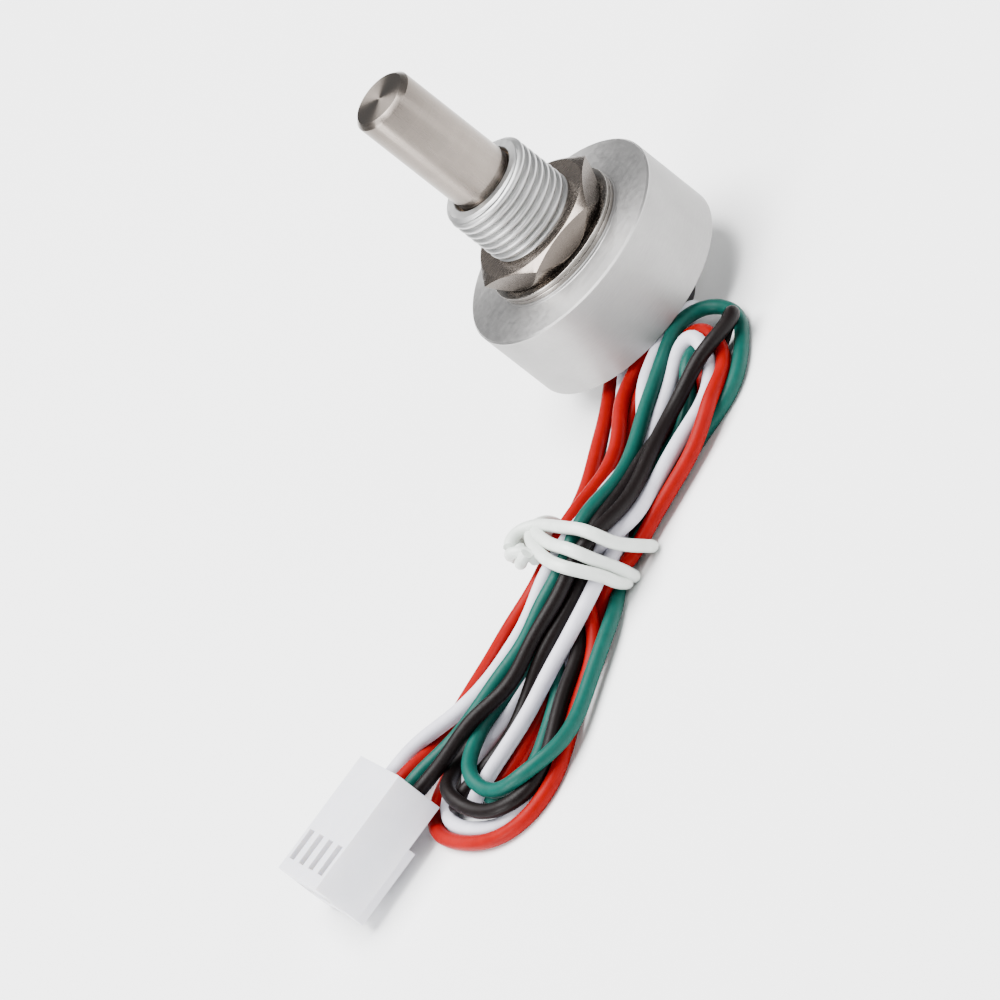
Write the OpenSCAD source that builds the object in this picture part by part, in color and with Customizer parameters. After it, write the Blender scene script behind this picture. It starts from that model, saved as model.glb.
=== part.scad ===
// Rotary encoder with a threaded panel bushing, a plain round shaft and four flying leads.
// Units are millimetres. +Z runs along the shaft to its free end, and Z = 0 is the surface
// the encoder stands on, at the foot of its lead outlet. The leads lie towards -X and -Y.

/* [Body] */
// Outside diameter of the body
body_d = 22; // [21.5:0.1:26]
// Height of the body between its back and front faces
body_h = 8.3; // [8.3:0.1:9.5]
// Height of the moulded lead outlet under the body
outlet_h = 4; // [4:0.1:5]
// Diameter of the moulded lead outlet
outlet_d = 10; // [9.8:0.1:12]

/* [Bushing] */
// Major diameter of the bushing thread
thread_d = 9.525; // [9.5:0.005:9.6]
// Length of the bushing in front of the body face
bushing_h = 9.8; // [9:0.1:12]
// Distance across the flats of the mounting nut
nut_af = 12.7; // [12:0.1:14]
// Thickness of the mounting nut
nut_h = 2.4; // [2:0.1:3]
// Outside diameter of both washers
washer_d = 14.2; // [13.5:0.1:15]
// Thickness of each washer
washer_t = 0.45; // [0.4:0.05:0.6]

/* [Shaft] */
// Diameter of the shaft
shaft_d = 6.35; // [6.33:0.01:6.36]
// Reach of the shaft in front of the body face
shaft_reach = 22.5; // [18:0.5:30]
// Chamfer at the free end of the shaft
shaft_chamfer = 0.45; // [0.2:0.05:0.8]

/* [Leads] */
// Outside diameter of each lead
lead_d = 1.4; // [1.2:0.1:1.4]
// Thickness of the twist tie
tie_d = 1.2; // [0.8:0.1:1.2]

/* [Connector] */
// Length of the connector housing, from mating end to lead end
conn_l = 12.2; // [12:0.1:13]
// Width of the connector housing
conn_w = 10.16; // [10.1:0.02:10.6]
// Thickness of the connector housing without its rails
conn_t = 4.85; // [4.5:0.05:5.2]

/* [Hidden] */
$fn = 64;
eps = 0.01;

// Levels along the shaft
z_back = outlet_h;
z_face = z_back + body_h;
z_thread_top = z_face + bushing_h;
z_tip = z_face + shaft_reach;

// Housing
body_r = body_d / 2;
thread_r = thread_d / 2;
cover_r = body_r - 0.4;
board_r = body_r - 2.1;
cavity_r = body_r - 2.8;
front_wall = 1.3;
rim_chamfer = 0.25;
boss_r = washer_d / 2 + 0.05;
boss_h = 0.3;
thread_root_r = 4.5;
thread_chamfer = 0.6;
bushing_bore_r = 3.65;
bushing_clear_r = 3.35;
relief_r = 5;
relief_h = 0.5;

// Mounting hardware
z_washer = z_face + boss_h;
z_lock = z_washer + washer_t;
z_nut = z_lock + washer_t;
z_nut_top = z_nut + nut_h;
nut_bore_r = thread_root_r + 0.06;
nut_chamfer_r = nut_af / 2 - 0.1;
washer_bore_r = 4.85;
lock_tooth_count = 10;

// Ball bearing, 1/4 inch bore
race_h = 3.175;
race_r = 6.35;
ball_r = 0.79;
ball_count = 11;
pitch_r = 4.7625;
groove_r = 0.82;
inner_land_r = 4.12;
outer_land_r = 5.4;
cage_h = 2.2;
cage_wall = 0.36;
shield_t = 0.12;
shield_hole_r = 4.3;
z_race_top = z_face - front_wall;
z_race = z_race_top - race_h;
z_balls = z_race + race_h / 2;

// Shaft and what rides on it
shaft_r = shaft_d / 2;
journal_r = shaft_r - 0.015;
clip_t = 0.35;
clip_groove_r = 2.85;
clip_outer_r = 4.05;
z_upper_clip = z_race_top + 0.02;
z_lower_clip = z_race - clip_t - 0.02;
z_shaft_end = z_lower_clip - 0.25;
relief_groove_r = 2.95;
relief_groove_l = 0.6;
z_journal_top = z_thread_top + relief_groove_l;
magnet_r = 2;
magnet_h = 2;
sleeve_r = journal_r + 0.03;
sleeve_l = 5;
z_sleeve_top = z_thread_top - 0.7;
z_sleeve = z_sleeve_top - sleeve_l;

// Board stack
cover_t = 0.7;
board_t = 0.6;
chip_t = 0.75;
chip_w = 4.4;
magnet_gap = 0.4;
z_cover_top = z_back + cover_t;
z_board_top = z_shaft_end - magnet_gap - chip_t;
z_board = z_board_top - board_t;
screw_pcd_r = 9.75;
screw_angles = [30, 150, 270];
screw_r = 0.4;
screw_head_r = 0.75;
screw_l = 2.6;

// Lead outlet: the leads leave it in two rows, along outlet_dir
outlet_angle = 219;
outlet_flat = 4.2;
outlet_bore_end = 2.7;
lead_pitch = 1.7;
z_upper_row = 2.75;
z_lower_row = 1.15;
lead_r = lead_d / 2;
conductor_r = 0.28;
// Place of each conductor: distance along the outlet direction, distance across, height
conductor_places = [
    [2.2, 0, z_upper_row], [2.2, lead_pitch, z_upper_row],
    [0.6, 0, z_lower_row], [0.6, lead_pitch, z_lower_row]
];

// Hank of leads: centre of its waist, its run angle and its three outlines
hank_c = [-21.2, -22.7];
hank_angle = 20;
waist_l = 9;
waist_front = -4.9;
waist_back = 4.2;
waist_top = 6.3;
left_end = [-17.4, -2.6];
left_r = 8.2;
left_top = 2.7;
right_end = [17.4, 0.4];
right_r = 7.8;
right_top = 2.4;
wrap_places = [-2.4, -0.5, 2.2];
tie_twist_l = 2.6;

// Routes of the free leads from the outlet to the hank
red_route = [
    [-2.1, -1.7, 2.75], [-3.65, -2.95, 2.75], [-5.6, -4.5, 2.75], [-7.9, -6.4, 2.8],
    [-10.6, -9.1, 3.1], [-13.2, -12.2, 3.6], [-15.7, -15.5, 4.1], [-18.3, -18.6, 4.4]
];
white_route = [
    [-1.05, -3, 2.75], [-2.6, -4.25, 2.75], [-4.6, -5.9, 2.75], [-7.2, -8.2, 2.8],
    [-9.8, -10.9, 2.8], [-12.4, -13.9, 2.9], [-15, -16.8, 3], [-18.1, -19.3, 3.1]
];
green_route = [
    [-2.1, -1.7, 1.15], [-3.65, -2.95, 1.15], [-5.6, -4.5, 1.15], [-8, -6.3, 1.2],
    [-10.8, -8.9, 1.4], [-13.6, -11.7, 1.9], [-16.2, -14.9, 2.5], [-18.5, -18.1, 3.1]
];
black_route = [
    [-1.05, -3, 1.15], [-2.6, -4.25, 1.15], [-4.6, -5.9, 1.1], [-7.2, -8.2, 1],
    [-9.9, -10.9, 0.9], [-12.5, -13.7, 1.1], [-15.2, -16.4, 1.5], [-18.3, -18.7, 1.9]
];
// Routes of the lead tails from the hank to the connector
red_tail_route = [
    [-25.3, -23.3, 5.5], [-29, -22.5, 5.1], [-32.5, -21.5, 4.3], [-36.2, -20.2, 3.3],
    [-39.4, -19.4, 2.7], [-42.1, -19.8, 2.6], [-44.3, -20.7, 2.9], [-46.4, -21.2, 3.25],
    [-49.55, -21.5, 3.35]
];
white_tail_route = [
    [-24.9, -25, 5.5], [-28.5, -25, 5.2], [-32.2, -24.4, 4.8], [-35.2, -23.4, 4.3],
    [-38.1, -22.1, 4], [-41, -20.5, 3.7], [-43.8, -19.2, 3.3], [-46.6, -18.7, 2.95],
    [-49.75, -19, 3.05]
];
green_tail_route = [
    [-24.4, -26.3, 5.4], [-27.5, -26.6, 5.3], [-31, -26.2, 4.9], [-34.2, -25.8, 4.6],
    [-37.4, -25.2, 4.2], [-40.5, -24.5, 3.9], [-43.4, -24, 3.7], [-46.15, -23.75, 3.55],
    [-49.35, -24, 3.6]
];
black_tail_route = [
    [-24, -27.6, 5.1], [-27.2, -28.2, 5.2], [-31, -28.1, 4.8], [-34.5, -27.9, 4.5],
    [-38, -27.5, 4.25], [-41, -27.2, 4], [-43.5, -26.8, 3.9], [-45.95, -26.25, 3.85],
    [-49.1, -26.55, 3.9]
];

// Connector: its lower front corner at the mating end, and its attitude
conn_corner = [-58, -28.8, 2.3];
conn_yaw = 5;
conn_pitch = 1.5;
conn_roll = -6.5;
cavity_pitch = 2.54;
cavity_count = 4;
cavity_z = 2;
lead_bore_r = 0.85;
lead_bore_l = 3;
meet = 0.2;
cell_w = 1.9;
cell_l = conn_l - lead_bore_l;
window_l = 3.1;
window_w = 1.25;
window_from_end = 1.3;
rail_l = 7.7;
rail_h = 0.95;
rail_w = 1.5;
terminal_from_end = 0.6;
terminal_l = conn_l - lead_bore_l - meet - terminal_from_end;
terminal_w = 1.5;
terminal_wall = 0.2;

// Points of one ring of a swept tube, at route[i]
function unit(v) = v / norm(v);
function tangent(route, i) =
    let (last = len(route) - 1, a = route[max(i - 1, 0)], b = route[min(i + 1, last)])
    unit(b - a);
function ring(route, i, r, sides) =
    let (
        t = tangent(route, i),
        across = unit(cross(t, [0, 0, 1])),
        up = cross(across, t)
    )
    [for (k = [0 : sides - 1])
        let (a = 360 * k / sides)
        route[i] + r * (cos(a) * across + sin(a) * up)];

// Tube of an even radius swept along a route
module tube(route, r = lead_r, sides = 8) {
    rings = len(route);
    points = [for (i = [0 : rings - 1]) each ring(route, i, r, sides)];
    start_cap = [[for (k = [0 : sides - 1]) k]];
    end_cap = [[for (k = [sides - 1 : -1 : 0]) (rings - 1) * sides + k]];
    walls = [
        for (i = [0 : rings - 2], k = [0 : sides - 1])
        let (n = (k + 1) % sides)
        [i * sides + k, (i + 1) * sides + k, (i + 1) * sides + n, i * sides + n]
    ];
    polyhedron(points = points, faces = concat(start_cap, walls, end_cap), convexity = 6);
}

// Flat ring between two radii
module washer(r_out, r_in, h) {
    difference() {
        cylinder(r = r_out, h = h);
        translate([0, 0, -1]) cylinder(r = r_in, h = h + 2);
    }
}

// Cup-shaped body in one piece with its bushing
module housing() {
    color("lightgray")
    difference() {
        union() {
            translate([0, 0, z_back]) cylinder(r = body_r, h = body_h - rim_chamfer);
            translate([0, 0, z_face - rim_chamfer])
                cylinder(r1 = body_r, r2 = body_r - rim_chamfer, h = rim_chamfer);
            translate([0, 0, z_face]) cylinder(r = boss_r, h = boss_h);
            translate([0, 0, z_face]) cylinder(r = thread_root_r, h = z_nut_top - z_face);
            translate([0, 0, z_nut_top])
                cylinder(r = thread_r, h = z_thread_top - thread_chamfer - z_nut_top);
            translate([0, 0, z_thread_top - thread_chamfer])
                cylinder(r1 = thread_r, r2 = thread_r - thread_chamfer, h = thread_chamfer);
        }
        translate([0, 0, z_back - 1]) cylinder(r = cover_r, h = cover_t + 1);
        translate([0, 0, z_back]) cylinder(r = board_r, h = z_board_top - z_back);
        translate([0, 0, z_board]) cylinder(r = cavity_r, h = z_race - z_board);
        translate([0, 0, z_board]) cylinder(r = race_r + eps, h = z_race_top - z_board);
        translate([0, 0, z_board]) cylinder(r = relief_r, h = z_race_top + relief_h - z_board);
        translate([0, 0, z_board]) cylinder(r = bushing_clear_r, h = body_h + bushing_h);
        translate([0, 0, z_sleeve]) cylinder(r = bushing_bore_r, h = bushing_h);
        for (a = screw_angles)
            rotate(a) translate([screw_pcd_r, 0, z_back]) cylinder(r = screw_r, h = screw_l);
    }
}

// Disc that closes the back of the body
module back_cover() {
    color("silver")
    difference() {
        translate([0, 0, z_back]) cylinder(r = cover_r - 0.05, h = cover_t);
        for (a = screw_angles)
            rotate(a) translate([screw_pcd_r, 0, z_back]) {
                translate([0, 0, -1]) cylinder(r = screw_r + 0.05, h = cover_t + 2);
                cylinder(r1 = screw_head_r, r2 = screw_r, h = screw_head_r - screw_r);
            }
        for (p = conductor_places)
            rotate(outlet_angle) translate([p[0], -p[1], z_back - 1])
                cylinder(r = conductor_r + 0.2, h = cover_t + 2, $fn = 24);
    }
}

module cover_screws() {
    head_h = screw_head_r - screw_r;
    color("dimgray")
    for (a = screw_angles)
        rotate(a) translate([screw_pcd_r, 0, z_back]) difference() {
            union() {
                translate([0, 0, eps]) cylinder(r1 = screw_head_r - 0.02, r2 = screw_r - 0.02, h = head_h);
                translate([0, 0, head_h]) cylinder(r = screw_r - 0.02, h = screw_l - head_h - 0.1);
            }
            translate([-screw_head_r, -0.1, -1]) cube([2 * screw_head_r, 0.2, 1.2]);
        }
}

// Moulded block that turns the leads sideways and carries the body off the surface
module lead_outlet() {
    color("darkslategray")
    difference() {
        cylinder(r = outlet_d / 2, h = outlet_h);
        rotate(outlet_angle) translate([outlet_flat, -outlet_d, -1])
            cube([outlet_d, 2 * outlet_d, outlet_h + 2]);
        for (row = [z_upper_row, z_lower_row], across = [0, lead_pitch])
            rotate(outlet_angle) translate([outlet_bore_end, -across, row])
                rotate([0, 90, 0]) cylinder(r = lead_r + 0.05, h = outlet_d, $fn = 32);
        for (p = conductor_places)
            rotate(outlet_angle) translate([p[0], -p[1], p[2]])
                cylinder(r = conductor_r + 0.02, h = outlet_h, $fn = 24);
    }
}

module board_spacer() {
    color("ivory")
    translate([0, 0, z_cover_top]) washer(board_r - 0.05, board_r - 0.9, z_board - z_cover_top);
}

module circuit_board() {
    color("darkgreen")
    translate([0, 0, z_board]) cylinder(r = board_r - 0.05, h = board_t);
}

// Hall sensor chip with its eight leads
module sensor_chip() {
    color("black") {
        translate([-chip_w / 2, -chip_w / 2, z_board_top]) cube([chip_w, chip_w, chip_t]);
        for (side = [-1, 1], i = [-1.5 : 1 : 1.5])
            translate([side * (chip_w / 2 + 0.4) - 0.4, i * 1.1 - 0.2, z_board_top])
                cube([0.8, 0.4, 0.35]);
    }
}

// Row of small chips soldered on the board
module chip_row(count, pitch, size) {
    for (i = [0 : count - 1])
        translate([(i - (count - 1) / 2) * pitch - size[0] / 2, -size[1] / 2, 0]) cube(size);
}

module board_capacitors() {
    color("tan")
    translate([0, 5.2, z_board_top]) chip_row(4, 1.9, [0.8, 1.5, 0.7]);
}

module board_resistors() {
    color("gray")
    translate([0, -5.2, z_board_top]) chip_row(5, 1.6, [0.8, 1.5, 0.4]);
}

module lead_conductors() {
    color("orange")
    for (p = conductor_places)
        rotate(outlet_angle) translate([p[0], -p[1], p[2]])
            cylinder(r = conductor_r, h = z_board - p[2], $fn = 24);
}

module solder_joints() {
    joint_h = 0.35;
    color("gainsboro")
    for (p = conductor_places)
        rotate(outlet_angle) translate([p[0], -p[1], z_board - joint_h]) difference() {
            cylinder(r1 = conductor_r + 0.1, r2 = conductor_r + 0.4, h = joint_h, $fn = 24);
            translate([0, 0, -1]) cylinder(r = conductor_r + eps, h = joint_h + 2, $fn = 24);
        }
}

module sleeve_bearing() {
    color("peru")
    translate([0, 0, z_sleeve]) washer(bushing_bore_r - eps, sleeve_r, sleeve_l);
}

// Half-round track that the balls run in
module ball_track() {
    translate([0, 0, z_balls]) rotate_extrude() translate([pitch_r, 0]) circle(r = groove_r, $fn = 32);
}

module bearing_outer_race() {
    color("lightsteelblue")
    difference() {
        translate([0, 0, z_race]) washer(race_r, outer_land_r, race_h);
        ball_track();
    }
}

module bearing_inner_race() {
    color("lightsteelblue")
    difference() {
        translate([0, 0, z_race]) washer(inner_land_r, journal_r + 0.005, race_h);
        ball_track();
    }
}

module bearing_balls() {
    color("white")
    for (i = [0 : ball_count - 1])
        rotate(i * 360 / ball_count) translate([pitch_r, 0, z_balls]) sphere(r = ball_r, $fn = 32);
}

module bearing_cage() {
    color("goldenrod")
    difference() {
        translate([0, 0, z_balls - cage_h / 2])
            washer(pitch_r + cage_wall / 2, pitch_r - cage_wall / 2, cage_h);
        for (i = [0 : ball_count - 1])
            rotate(i * 360 / ball_count) translate([pitch_r, 0, z_balls])
                sphere(r = ball_r + 0.05, $fn = 32);
    }
}

// Thin shield pressed into the outer race, clear of the inner one
module bearing_shield(z) {
    color("silver") translate([0, 0, z]) washer(outer_land_r, shield_hole_r, shield_t);
}

module bearing_upper_shield() { bearing_shield(z_race_top - shield_t - 0.1); }

module bearing_lower_shield() { bearing_shield(z_race + 0.1); }

module shaft() {
    color("lightslategray")
    difference() {
        union() {
            translate([0, 0, z_shaft_end]) cylinder(r = journal_r, h = z_journal_top - z_shaft_end);
            translate([0, 0, z_journal_top])
                cylinder(r = shaft_r, h = z_tip - shaft_chamfer - z_journal_top);
            translate([0, 0, z_tip - shaft_chamfer])
                cylinder(r1 = shaft_r, r2 = shaft_r - shaft_chamfer, h = shaft_chamfer);
        }
        translate([0, 0, z_shaft_end - 1]) cylinder(r = magnet_r, h = magnet_h + 1);
        for (z = [z_upper_clip, z_lower_clip])
            translate([0, 0, z]) washer(shaft_r + 1, clip_groove_r, clip_t);
        translate([0, 0, z_thread_top]) washer(shaft_r + 1, relief_groove_r, relief_groove_l);
    }
}

module sensor_magnet() {
    color("darkgray") translate([0, 0, z_shaft_end]) cylinder(r = magnet_r - eps, h = magnet_h);
}

// Open ring sprung into a groove of the shaft
module retaining_ring(z) {
    inset = 0.02;
    color("slategray")
    translate([0, 0, z + inset / 2]) difference() {
        washer(clip_outer_r, clip_groove_r + eps, clip_t - inset);
        translate([0, -1.4, -1]) cube([clip_outer_r + 1, 2.8, clip_t + 2]);
    }
}

module upper_retaining_ring() { retaining_ring(z_upper_clip); }

module lower_retaining_ring() { retaining_ring(z_lower_clip); }

module flat_washer() {
    color("gainsboro") translate([0, 0, z_washer]) washer(washer_d / 2, washer_bore_r, washer_t);
}

// Lock washer with teeth on its inside edge
module lock_washer() {
    tooth_l = 1.3;
    color("darkgray")
    translate([0, 0, z_lock]) {
        washer(washer_d / 2, washer_bore_r + tooth_l - 0.1, washer_t);
        for (i = [0 : lock_tooth_count - 1])
            rotate(i * 360 / lock_tooth_count)
                translate([washer_bore_r + 0.02, -0.8, 0]) cube([tooth_l, 1.6, washer_t]);
    }
}

// Thin hexagon nut, chamfered on both faces
module mounting_nut() {
    corner_r = nut_af / 2 / cos(30);
    top_slope = tan(28);
    bottom_slope = tan(38);
    rise = 2;
    color("rosybrown")
    translate([0, 0, z_nut]) difference() {
        intersection() {
            cylinder(r = corner_r, h = nut_h, $fn = 6);
            cylinder(r1 = nut_chamfer_r, r2 = nut_chamfer_r + rise / bottom_slope, h = rise + nut_h);
            translate([0, 0, -rise])
                cylinder(r1 = nut_chamfer_r + (rise + nut_h) / top_slope, r2 = nut_chamfer_r,
                    h = rise + nut_h);
        }
        translate([0, 0, -1]) cylinder(r = nut_bore_r, h = nut_h + 2);
    }
}

module lead_red() { color("red") tube(red_route); }

module lead_white() { color("white") tube(white_route); }

module lead_green() { color("seagreen") tube(green_route); }

module lead_black() { color("dimgray") tube(black_route); }

module tail_red() { color("red") tube(red_tail_route); }

module tail_white() { color("white") tube(white_tail_route); }

module tail_green() { color("seagreen") tube(green_tail_route); }

module tail_black() { color("dimgray") tube(black_tail_route); }

// Frame of the hank: X along its run, Y to its back, from the centre of its waist
module in_hank() {
    translate([hank_c[0], hank_c[1], 0]) rotate(hank_angle) children();
}

// One lobe of the hank, an outline that widens from the waist to a round end
module hank_lobe(side, end, r, top) {
    waist_w = waist_back - waist_front;
    linear_extrude(height = top) hull() {
        translate([side * waist_l / 2 - 0.25, waist_front]) square([0.5, waist_w]);
        translate(end) circle(r = r, $fn = 48);
    }
}

// The folded leads as one simple solid: a tied waist and a lobe of loops at each end
module lead_hank() {
    color("mediumseagreen")
    in_hank() {
        translate([-waist_l / 2, waist_front, tie_d])
            cube([waist_l, waist_back - waist_front, waist_top - tie_d]);
        difference() {
            union() {
                hank_lobe(-1, left_end, left_r, left_top);
                hank_lobe(1, right_end, right_r, right_top);
            }
            translate([-waist_l / 2, waist_front - 1, -1])
                cube([waist_l, waist_back - waist_front + 2, tie_d + 1]);
        }
    }
}

// Plastic-coated tie: three wraps around the waist and its twisted ends at the back
module twist_tie() {
    waist_w = waist_back - waist_front;
    color("whitesmoke")
    in_hank() {
        for (x = wrap_places)
            translate([x - tie_d / 2, 0, 0]) difference() {
                translate([0, waist_front - tie_d, 0])
                    cube([tie_d, waist_w + 2 * tie_d, waist_top + tie_d]);
                translate([-1, waist_front, tie_d]) cube([tie_d + 2, waist_w, waist_top - tie_d]);
            }
        translate([wrap_places[0], waist_back + tie_d / 2, waist_top])
            rotate([0, 90, 0]) cylinder(r = tie_d / 2, h = wrap_places[2] - wrap_places[0]);
        translate([wrap_places[0] - 0.4, waist_back + tie_d / 2, waist_top + tie_d / 2])
            cylinder(r = tie_d / 2, h = tie_twist_l - tie_d);
    }
}

// Frame of the connector: X along its leads, Y across its ways, Z through its thickness
module in_connector() {
    translate(conn_corner) rotate([0, 0, conn_yaw]) rotate([0, conn_pitch, 0])
        rotate([conn_roll, 0, 0]) children();
}

function cavity_y(i) = conn_w / 2 + (i - (cavity_count - 1) / 2) * cavity_pitch;

// Four-way crimp housing with a terminal window over each way and two rails beneath
module connector_housing() {
    color("white")
    in_connector() difference() {
        union() {
            cube([conn_l, conn_w, conn_t]);
            for (y = [0.5, conn_w - 0.5 - rail_w])
                translate([0, y, -rail_h]) cube([rail_l, rail_w, rail_h + 0.1]);
        }
        for (i = [0 : cavity_count - 1])
            translate([0, cavity_y(i), cavity_z]) {
                translate([conn_l - lead_bore_l - meet, 0, 0]) rotate([0, 90, 0])
                    cylinder(r = lead_bore_r, h = lead_bore_l + 1, $fn = 32);
                translate([-1, -cell_w / 2, -cell_w / 2]) cube([cell_l + 1, cell_w, cell_w]);
                translate([window_from_end, -window_w / 2, 0]) cube([window_l, window_w, conn_t]);
            }
    }
}

// Crimp terminal in its way: an open box with a spring tongue and a crimp barrel
module terminal(i) {
    color("gold")
    in_connector() translate([terminal_from_end, cavity_y(i), cavity_z]) {
        difference() {
            translate([0, -terminal_w / 2, -terminal_w / 2])
                cube([terminal_l, terminal_w, terminal_w]);
            translate([-1, terminal_wall - terminal_w / 2, terminal_wall - terminal_w / 2])
                cube([terminal_l + 2, terminal_w - 2 * terminal_wall, terminal_w - 2 * terminal_wall]);
        }
        translate([1.2, -0.4, terminal_w / 2 - terminal_wall]) cube([2.2, 0.8, 0.6]);
    }
}

module terminal_black() { terminal(0); }

module terminal_green() { terminal(1); }

module terminal_red() { terminal(2); }

module terminal_white() { terminal(3); }

housing();
back_cover();
cover_screws();
lead_outlet();
board_spacer();
circuit_board();
sensor_chip();
board_capacitors();
board_resistors();
lead_conductors();
solder_joints();
sleeve_bearing();
bearing_outer_race();
bearing_upper_shield();
bearing_lower_shield();
shaft();
sensor_magnet();
bearing_inner_race();
upper_retaining_ring();
lower_retaining_ring();
bearing_balls();
bearing_cage();
flat_washer();
lock_washer();
mounting_nut();
lead_red();
lead_white();
lead_green();
lead_black();
lead_hank();
tail_red();
tail_white();
tail_green();
tail_black();
twist_tie();
connector_housing();
terminal_red();
terminal_white();
terminal_green();
terminal_black();
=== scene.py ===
"""Looks of the rotary encoder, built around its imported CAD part.

Lengths are in mm until a mesh is made, apart from the camera, the floor and the lights, in metres.
"""

import math

import bmesh
import bpy
import numpy as np
from mathutils import Matrix, Vector


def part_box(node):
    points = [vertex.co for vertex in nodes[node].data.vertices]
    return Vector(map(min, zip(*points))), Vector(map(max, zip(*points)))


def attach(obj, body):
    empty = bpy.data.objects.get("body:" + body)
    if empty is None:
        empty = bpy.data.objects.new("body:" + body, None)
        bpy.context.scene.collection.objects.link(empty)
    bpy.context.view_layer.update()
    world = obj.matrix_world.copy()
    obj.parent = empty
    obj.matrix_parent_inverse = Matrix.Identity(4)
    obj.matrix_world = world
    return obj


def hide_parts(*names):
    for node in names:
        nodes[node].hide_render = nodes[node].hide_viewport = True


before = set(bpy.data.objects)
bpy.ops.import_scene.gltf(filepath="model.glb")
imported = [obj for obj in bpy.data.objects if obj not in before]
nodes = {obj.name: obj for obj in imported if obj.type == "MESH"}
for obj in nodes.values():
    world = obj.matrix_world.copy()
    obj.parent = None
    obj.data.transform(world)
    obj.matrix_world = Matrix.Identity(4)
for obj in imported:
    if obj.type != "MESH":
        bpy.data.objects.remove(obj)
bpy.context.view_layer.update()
MM = 0.001


def box_mm(node):
    """Lowest and highest corners of a CAD node, in mm."""
    low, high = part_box(node)
    return np.array(low) / MM, np.array(high) / MM


# ---------------------------------------------------------------- sizes from the frame, in mm
housing_low, housing_high = box_mm("housing")
shaft_low, shaft_high = box_mm("shaft")
washer_low, washer_high = box_mm("flat_washer")
Z_BACK = housing_low[2]
Z_THREAD_TOP = housing_high[2]
BUSHING_H = 9.8
Z_FACE = Z_THREAD_TOP - BUSHING_H
Z_BOSS = washer_low[2]
Z_SLEEVE_TOP = box_mm("sleeve_bearing")[1][2]
Z_TIP = shaft_high[2]
BODY_R = housing_high[0]
SHAFT_R = shaft_high[0]
BOSS_R = washer_high[0] + 0.05
OUTLET_R = box_mm("lead_outlet")[1][0]
CAVITY_R = 9.05
COVER_T = 0.7
THREAD_R = 4.7625
THREAD_PITCH = 25.4 / 32
THREAD_DEPTH = 0.46
THREAD_CHAMFER_H = 0.42
THREAD_CHAMFER_SLOPE = 1.25
THREAD_END_R = THREAD_R - THREAD_CHAMFER_H * THREAD_CHAMFER_SLOPE
BUSHING_BORE_R = 3.65
MOUTH_R = 3.42
RELIEF_R = 2.95
RELIEF_L = 0.6
Z_JOURNAL_TOP = Z_THREAD_TOP + RELIEF_L
LEAD_D = 1.4
TIE_D = 1.2


# ---------------------------------------------------------------- camera, in m
CAMERA_PLACE = (-0.02152, -0.7146, 0.37207)


def place_camera():
    """Long lens, looking down at the part, rolled so that the shaft leans to the left."""
    elevation = math.radians(27.43)
    roll = math.radians(52.57)
    look = Vector((0, math.cos(elevation), -math.sin(elevation)))
    level_right = Vector((1, 0, 0))
    level_up = level_right.cross(look)
    right = math.cos(roll) * level_right - math.sin(roll) * level_up
    up = math.sin(roll) * level_right + math.cos(roll) * level_up
    data = bpy.data.cameras.new("camera")
    data.sensor_width = 36
    data.lens = 324.1
    data.clip_end = 20
    camera = bpy.data.objects.new("camera", data)
    turn = Matrix((right, up, -look)).transposed()
    camera.matrix_world = Matrix.Translation(CAMERA_PLACE) @ turn.to_4x4()
    bpy.context.collection.objects.link(camera)
    bpy.context.scene.camera = camera


place_camera()

# ---------------------------------------------------------------- routes of the leads, in mm
# From the outlet to the tie, as in the CAD
LEAD_ROUTES = {
    "red": [(-2.1, -1.7, 2.75), (-3.65, -2.95, 2.75), (-5.6, -4.5, 2.75), (-7.9, -6.4, 2.8),
            (-10.6, -9.1, 3.1), (-13.2, -12.2, 3.6), (-15.7, -15.5, 4.1), (-18.3, -18.6, 4.4)],
    "white": [(-1.05, -3, 2.75), (-2.6, -4.25, 2.75), (-4.6, -5.9, 2.75), (-7.2, -8.2, 2.8),
              (-9.8, -10.9, 2.8), (-12.4, -13.9, 2.9), (-15, -16.8, 3), (-18.1, -19.3, 3.1)],
    "green": [(-2.1, -1.7, 1.15), (-3.65, -2.95, 1.15), (-5.6, -4.5, 1.15), (-8, -6.3, 1.2),
              (-10.8, -8.9, 1.4), (-13.6, -11.7, 1.9), (-16.2, -14.9, 2.5), (-18.5, -18.1, 3.1)],
    "black": [(-1.05, -3, 1.15), (-2.6, -4.25, 1.15), (-4.6, -5.9, 1.1), (-7.2, -8.2, 1),
              (-9.9, -10.9, 0.9), (-12.5, -13.7, 1.1), (-15.2, -16.4, 1.5), (-18.3, -18.7, 1.9)],
}
# From the tie to the connector, as in the CAD
TAIL_ROUTES = {
    "red": [(-25.3, -23.3, 5.5), (-29, -22.5, 5.1), (-32.5, -21.5, 4.3), (-36.2, -20.2, 3.3),
            (-39.4, -19.4, 2.7), (-42.1, -19.8, 2.6), (-44.3, -20.7, 2.9), (-46.4, -21.2, 3.25),
            (-49.55, -21.5, 3.35)],
    "white": [(-24.9, -25, 5.5), (-28.5, -25, 5.2), (-32.2, -24.4, 4.8), (-35.2, -23.4, 4.3),
              (-38.1, -22.1, 4), (-41, -20.5, 3.7), (-43.8, -19.2, 3.3), (-46.6, -18.7, 2.95),
              (-49.75, -19, 3.05)],
    "green": [(-24.4, -26.3, 5.4), (-27.5, -26.6, 5.3), (-31, -26.2, 4.9), (-34.2, -25.8, 4.6),
              (-37.4, -25.2, 4.2), (-40.5, -24.5, 3.9), (-43.4, -24, 3.7), (-46.15, -23.75, 3.55),
              (-49.35, -24, 3.6)],
    "black": [(-24, -27.6, 5.1), (-27.2, -28.2, 5.2), (-31, -28.1, 4.8), (-34.5, -27.9, 4.5),
              (-38, -27.5, 4.25), (-41, -27.2, 4), (-43.5, -26.8, 3.9), (-45.95, -26.25, 3.85),
              (-49.1, -26.55, 3.9)],
}
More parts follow.
